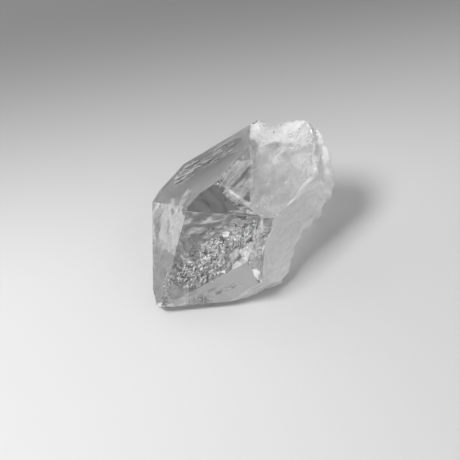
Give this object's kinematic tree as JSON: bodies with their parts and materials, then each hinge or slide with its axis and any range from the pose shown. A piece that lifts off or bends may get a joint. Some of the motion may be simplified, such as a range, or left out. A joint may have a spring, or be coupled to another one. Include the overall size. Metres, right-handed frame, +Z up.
{
  "type": "quartz crystal",
  "caption": "Clear quartz crystal point lying on its side, with a large diamond-shaped window face and a rough milky broken end.",
  "frame": {"origin": "middle of the box's underside, on the flat face that the crystal rests on", "axes": "+Z up, +X to the right and +Y away from someone who looks at the window face; the tip is at the lower left front"},
  "size_m": [0.0456, 0.037, 0.0342],
  "materials": {
    "clear_quartz": "clear and glossy natural faces, satin milky broken end"
  },
  "bodies": {
    "root": {"quartz_crystal": "clear_quartz"}
  },
  "joints": []
}
